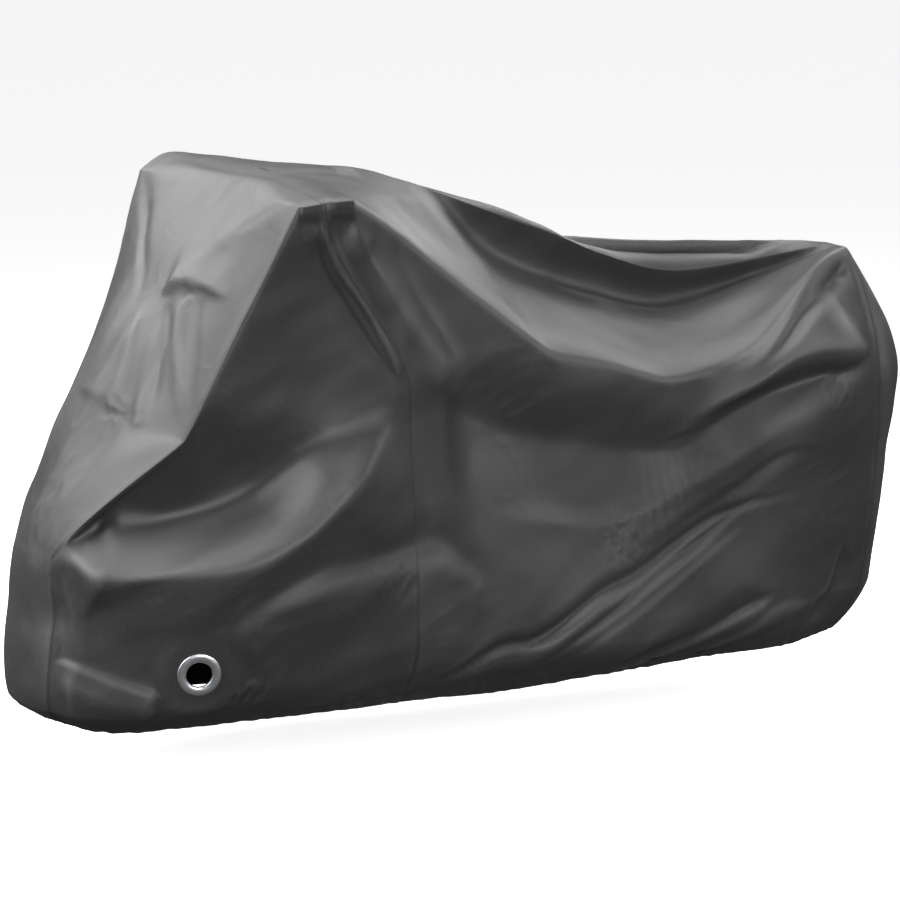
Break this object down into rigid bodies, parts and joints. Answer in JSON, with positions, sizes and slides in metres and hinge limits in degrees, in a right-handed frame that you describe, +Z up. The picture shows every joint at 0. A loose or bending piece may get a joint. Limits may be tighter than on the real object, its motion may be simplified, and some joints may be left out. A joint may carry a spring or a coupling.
{
  "type": "motorcycle cover",
  "caption": "Fitted cloth cover in the shape in which it drapes over a parked motorcycle, open below, with a turned elastic hem and a metal lock eyelet low at the front",
  "frame": {"origin": "the inner face under the top, on the centre line between the handlebar ends, where the cover hangs on what it covers", "axes": "-X points to the front wheel and +X to the rear wheel, +Z is up, -Y is the left side of the cover, which carries the eyelet"},
  "size_m": [2.5245, 0.884, 1.3394],
  "materials": {
    "coated_cloth": "charcoal coated polyester, smooth and slightly glossy",
    "eyelet_metal": "polished plated steel"
  },
  "bodies": {
    "root": {"centre_panel": "coated_cloth", "side_panel_left_front": "coated_cloth", "side_panel_left_rear": "coated_cloth", "side_panel_right_front": "coated_cloth", "side_panel_right_rear": "coated_cloth", "eyelet_ring_left": "eyelet_metal"}
  },
  "joints": []
}
